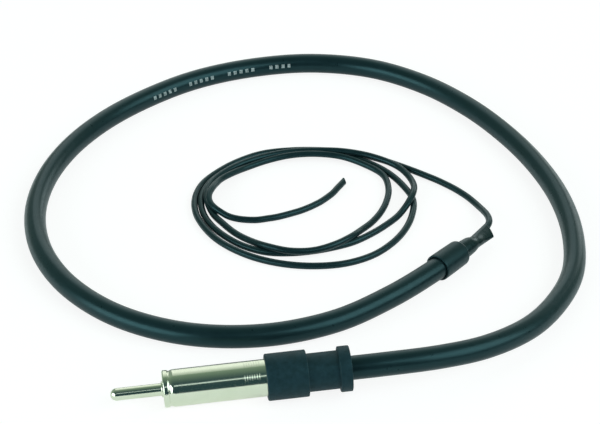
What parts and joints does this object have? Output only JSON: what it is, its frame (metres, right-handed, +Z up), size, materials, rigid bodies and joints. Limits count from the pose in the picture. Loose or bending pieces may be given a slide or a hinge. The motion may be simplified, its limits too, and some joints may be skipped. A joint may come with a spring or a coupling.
{
  "type": "soft wire radio antenna",
  "caption": "Soft wire radio antenna: a metal antenna plug with a moulded boot, a looped coaxial feeder and a thin aerial wire coiled loosely inside the loop.",
  "frame": {"origin": "under the middle of the plug's box, on the plane that the antenna lies on", "axes": "+X along the plug from its pin towards its boot, +Z up, +Y from the plug towards the loop of cable"},
  "size_m": [0.1586, 0.1825, 0.0129],
  "materials": {
    "nickel": "nickel plated, polished",
    "insulator": "moulded",
    "solder": "satin",
    "brass": "plain",
    "copper": "bright",
    "dielectric": "extruded",
    "boot": "moulded, matt, fine grain",
    "jacket": "extruded, satin",
    "sleeve": "satin",
    "shrink_tube": "shrunk, slightly glossy",
    "wire": "extruded, satin"
  },
  "bodies": {
    "root": {"plug_pin": "nickel", "plug_shell": "nickel", "pin_insulator": "insulator", "pin_solder": "solder", "plug_ferrule": "brass", "plug_boot": "boot", "plug_core": "copper", "plug_dielectric": "dielectric", "plug_braid": "copper", "plug_jacket": "jacket", "coax_cable": "jacket", "end_sleeve": "sleeve", "joint_sleeve": "shrink_tube", "joint_dielectric": "dielectric", "joint_core": "copper", "splice_solder": "solder", "wire_core": "copper", "wire_stub": "wire", "wire_lead": "wire", "wire_coil": "wire", "wire_tail": "wire"}
  },
  "joints": []
}
